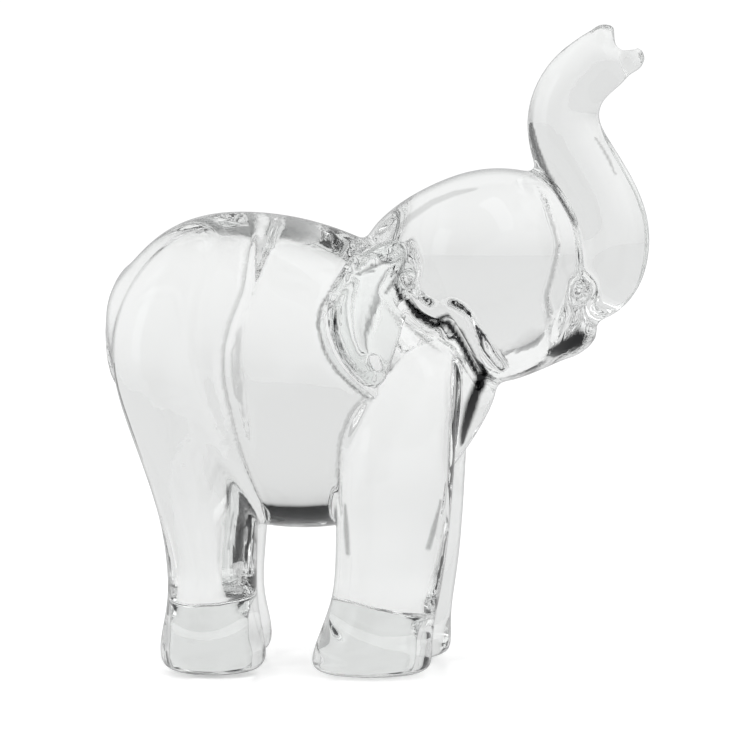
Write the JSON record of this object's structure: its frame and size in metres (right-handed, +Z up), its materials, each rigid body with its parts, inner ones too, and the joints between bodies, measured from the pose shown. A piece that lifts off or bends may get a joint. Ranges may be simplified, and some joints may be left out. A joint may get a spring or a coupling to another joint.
{
  "type": "glass elephant figurine",
  "caption": "Solid clear crystal glass elephant, standing on ground soles with its head lifted and its trunk raised in an S curve.",
  "frame": {"origin": "on the ground, at the middle of the bounding box of the four soles up to the trunk's tip, seen from above", "axes": "+X the way the elephant faces, +Y its left side, +Z up from the soles to the raised trunk"},
  "size_m": [0.1384, 0.0726, 0.1611],
  "materials": {
    "crystal": "fire-polished clear lead-free crystal, smooth and glossy, no colour",
    "eye_glass": "small clear glass drop, fire-polished"
  },
  "bodies": {
    "root": {"torso": "crystal", "head": "crystal", "trunk": "crystal", "lower_jaw": "crystal", "ear_right": "crystal", "ear_left": "crystal", "eye_right": "eye_glass", "eye_left": "eye_glass", "tail": "crystal", "rear_leg_right": "crystal", "rear_leg_left": "crystal", "front_leg_right": "crystal", "front_leg_left": "crystal"}
  },
  "joints": []
}
